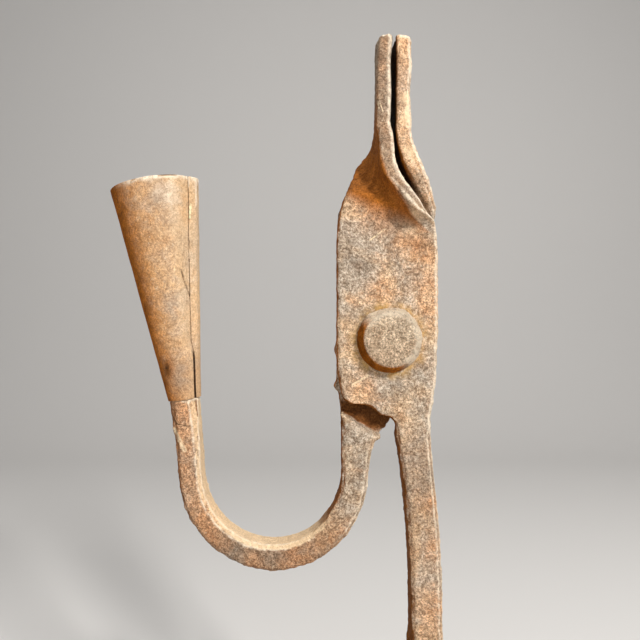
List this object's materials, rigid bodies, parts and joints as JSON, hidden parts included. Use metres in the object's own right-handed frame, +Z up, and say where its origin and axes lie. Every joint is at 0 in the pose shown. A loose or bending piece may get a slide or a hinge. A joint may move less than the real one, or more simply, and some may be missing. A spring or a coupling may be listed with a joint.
{
  "type": "rushlight holder",
  "caption": "Wrought iron rushlight holder: folded jaws riveted as a scissor, closed by the weight of a candle socket on a U-shaped arm, on a stem in a turned wooden block.",
  "frame": {"origin": "middle of the wooden block's underside, on the stem's axis", "axes": "+Z up along the stem, +X to the right in the picture, +Y away from the camera, along the rivet"},
  "size_m": [0.1381, 0.11, 0.2328],
  "materials": {
    "forged_iron": "hammered and worn, with thin ochre and brown rust",
    "sheet_iron": "smooth sheet with orange brown rust",
    "rivet_iron": "pitted",
    "foot_iron": "dark, lightly rusted",
    "turned_wood": "dark waxed"
  },
  "bodies": {
    "stand": {"fixed_jaw_stem": "forged_iron", "pivot_rivet": "rivet_iron", "stem_collar": "foot_iron", "base_block": "turned_wood", "tang_rove": "foot_iron"},
    "arm": {"counterweight_arm": "forged_iron", "candle_socket": "sheet_iron"}
  },
  "joints": [
    {"name": "jaw_hinge", "type": "hinge", "parent": "stand", "child": "arm", "pos_m": [-0.01, 0, 0.154], "axis": [0, 1, 0], "range_deg": [0, 45]}
  ]
}
